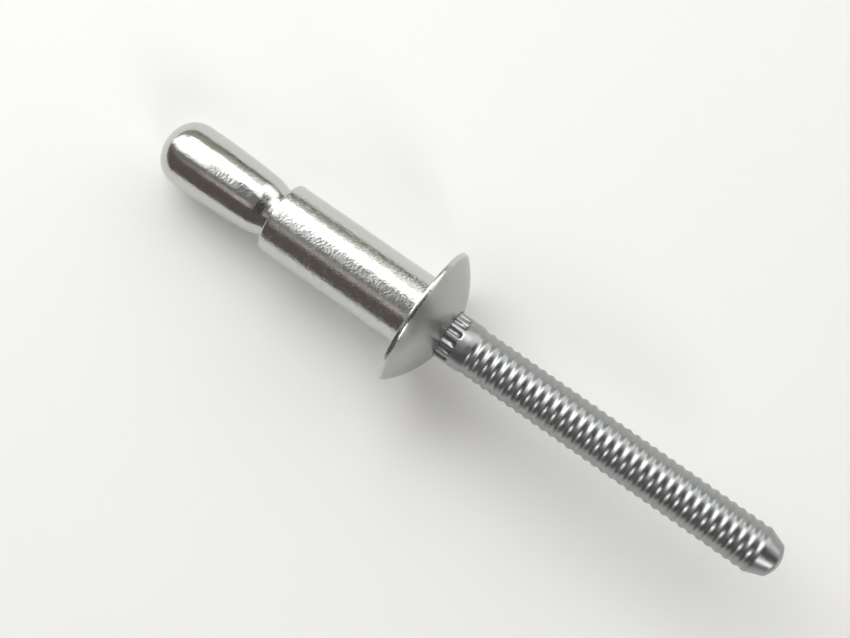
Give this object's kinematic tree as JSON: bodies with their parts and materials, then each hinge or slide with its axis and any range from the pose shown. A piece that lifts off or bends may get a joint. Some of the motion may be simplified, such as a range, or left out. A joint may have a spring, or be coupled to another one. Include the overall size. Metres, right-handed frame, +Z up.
{
  "type": "structural blind rivet",
  "caption": "Unset steel blind rivet: dome-flanged tubular body on a mandrel with a round-nosed head, splined collar and grooved pulling stem, lying at rest.",
  "frame": {"origin": "centre of the flange's seating face on the rivet's own axis, which is the shank mount's point; the surface that the rivet lies on is 6.13 mm below it", "axes": "+Z up with the rivet lying at rest on its flange rim and its mandrel head; +X towards the stem's tail, seen from above, with the rivet's own axis rising 7.84 degrees from +X in the XZ plane; +Y completes a right-handed frame and XZ is the plane of symmetry"},
  "size_m": [0.0598, 0.0124, 0.0125],
  "materials": {
    "rivet_body": "bright zinc plate with a fine grain",
    "mandrel": "zinc plate, bright on the head and duller on the rolled stem"
  },
  "bodies": {
    "root": {"rivet_body": "rivet_body", "mandrel": "mandrel"}
  },
  "joints": []
}
